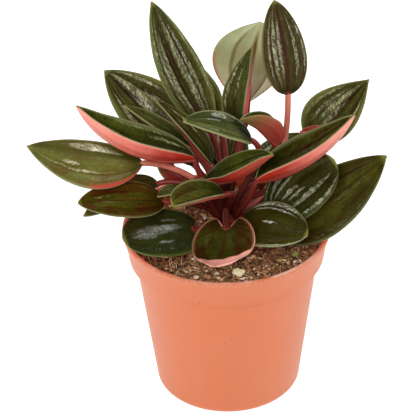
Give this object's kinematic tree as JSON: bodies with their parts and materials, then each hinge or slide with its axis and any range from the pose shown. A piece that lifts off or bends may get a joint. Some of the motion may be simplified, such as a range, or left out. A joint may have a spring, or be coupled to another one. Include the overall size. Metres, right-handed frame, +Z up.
{
  "type": "potted peperomia",
  "caption": "Peperomia houseplant with pointed, ribbed dark-green leaves on slender red stalks, growing from soil in a tapered round nursery pot with a banded rim.",
  "frame": {"origin": "centre of the pot's flat underside", "axes": "+Z up along the pot's axis, -Y towards the camera of the picture, +X to that camera's right"},
  "size_m": [0.1786, 0.1279, 0.1993],
  "materials": {
    "pot": "terracotta-coloured moulded polypropylene with a soft sheen and a few fine specks",
    "soil": "damp crumbly peat compost with a few pale lumps of perlite",
    "stalks": "smooth fleshy pinkish-red stalks, darker at the crown",
    "leaf": "satin leathery blade, dark green with silvery stripes between maroon veins, pink-red underneath"
  },
  "bodies": {
    "root": {"pot": "pot", "soil": "soil", "stalks_and_crown": "stalks", "leaf_01_tall_left": "leaf", "leaf_02_pale_back": "leaf", "leaf_03_narrow": "leaf", "leaf_04_tall_right": "leaf", "leaf_05_right_back": "leaf", "leaf_06_right_boat": "leaf", "leaf_07_right_low": "leaf", "leaf_08_round": "leaf", "leaf_09_front_right": "leaf", "leaf_10_front_cup": "leaf", "leaf_11_front_left": "leaf", "leaf_12_left_low": "leaf", "leaf_13_far_left": "leaf", "leaf_14_left_boat": "leaf", "leaf_15_upper_left": "leaf", "leaf_16_small_folded": "leaf", "leaf_17_narrow_dark": "leaf", "leaf_18_centre": "leaf", "leaf_19_small_curled": "leaf", "leaf_20_centre_right": "leaf", "leaf_21_centre_left": "leaf", "leaf_22_under_left": "leaf", "leaf_23_tiny": "leaf", "leaf_24_dark_red": "leaf", "leaf_25_behind_boat": "leaf", "leaf_26_back_low": "leaf", "leaf_27_back_left": "leaf", "leaf_28_left_back": "leaf", "leaf_29_back_right": "leaf", "leaf_30_right_back_low": "leaf", "leaf_31_back_upper_left": "leaf", "leaf_32_back_upper": "leaf"}
  },
  "joints": []
}
